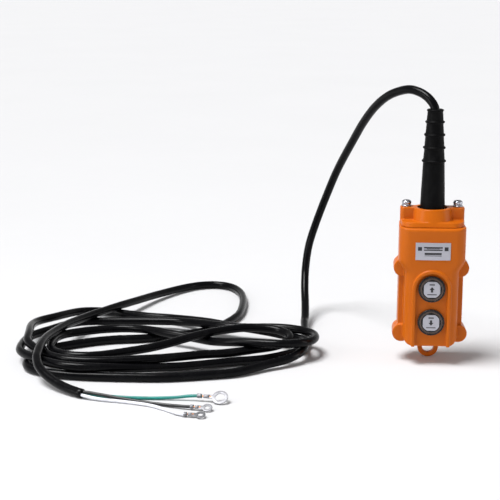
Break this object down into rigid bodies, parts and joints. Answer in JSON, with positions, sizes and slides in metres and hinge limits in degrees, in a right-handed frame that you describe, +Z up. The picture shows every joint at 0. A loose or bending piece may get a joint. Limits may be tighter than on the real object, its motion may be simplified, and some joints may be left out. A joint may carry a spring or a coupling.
{
  "type": "hoist pendant control",
  "caption": "Hand-held hoist pendant: orange two-button station with a guarded channel, hanging eye and ribbed boot, on a loosely coiled control cord with ring-ended leads.",
  "frame": {"origin": "on the surface under the middle of the hand station's width and depth, level with the bottom of the hanging eye", "axes": "+Z up along the station towards the cord's boot, front with the buttons towards -Y, +X to the right of someone facing the buttons"},
  "size_m": [0.4549, 0.4559, 0.2708],
  "materials": {
    "case": "semi-gloss orange moulding",
    "rubber": "matte black",
    "cord": "smooth black jacket, satin",
    "button": "gloss black",
    "plate": "satin",
    "zinc": "bright zinc plated",
    "contact": "plain",
    "insulator": "plain cream moulding",
    "wire_black": "smooth insulation",
    "wire_white": "smooth insulation",
    "wire_green": "smooth insulation"
  },
  "bodies": {
    "housing": {"front_case": "case", "rear_case": "case", "case_gasket": "rubber", "cover_screw_upper_left": "zinc", "cover_screw_upper_right": "zinc", "cover_screw_lower_left": "zinc", "cover_screw_lower_right": "zinc", "name_plate": "plate", "cable_cap": "case", "cap_gasket": "rubber", "cap_washer_left": "zinc", "cap_lock_washer_left": "zinc", "cap_screw_left": "zinc", "cap_washer_right": "zinc", "cap_lock_washer_right": "zinc", "cap_screw_right": "zinc", "cable_boot": "rubber", "cord_in_boot": "cord", "cord_clamp": "insulator", "clamp_screw_left": "zinc", "clamp_screw_right": "zinc", "up_bezel": "button", "up_lock_ring": "zinc", "up_ring_nut": "insulator", "up_spring": "zinc", "up_terminal_left": "contact", "up_terminal_screw_left": "zinc", "up_terminal_right": "contact", "up_terminal_screw_right": "zinc", "down_bezel": "button", "down_lock_ring": "zinc", "down_ring_nut": "insulator", "down_spring": "zinc", "down_terminal_left": "contact", "down_terminal_screw_left": "zinc", "down_terminal_right": "contact", "down_terminal_screw_right": "zinc", "contact_block": "insulator", "block_screw_left": "zinc", "block_screw_right": "zinc", "earth_screw": "zinc", "lead_black": "wire_black", "lead_white": "wire_white", "lead_green": "wire_green", "cord_drop": "cord", "cord_coil": "cord", "cord_tail": "cord", "wire_black": "wire_black", "ring_terminal_black": "zinc", "wire_green": "wire_green", "ring_terminal_green": "zinc", "wire_white": "wire_white", "ring_terminal_white": "zinc"},
    "up_button": {"up_button": "button", "up_label": "plate", "up_contact_bridge": "contact"},
    "down_button": {"down_button": "button", "down_label": "plate", "down_contact_bridge": "contact"}
  },
  "joints": [
    {"name": "up_press", "type": "slide", "parent": "housing", "child": "up_button", "axis": [0, 1, 0], "range_m": [0, 0.0045], "stiffness_N_per_m": 400, "springref_m": -0.003, "deforming": ["up_spring"]},
    {"name": "down_press", "type": "slide", "parent": "housing", "child": "down_button", "axis": [0, 1, 0], "range_m": [0, 0.0045], "stiffness_N_per_m": 400, "springref_m": -0.003, "deforming": ["down_spring"]}
  ]
}
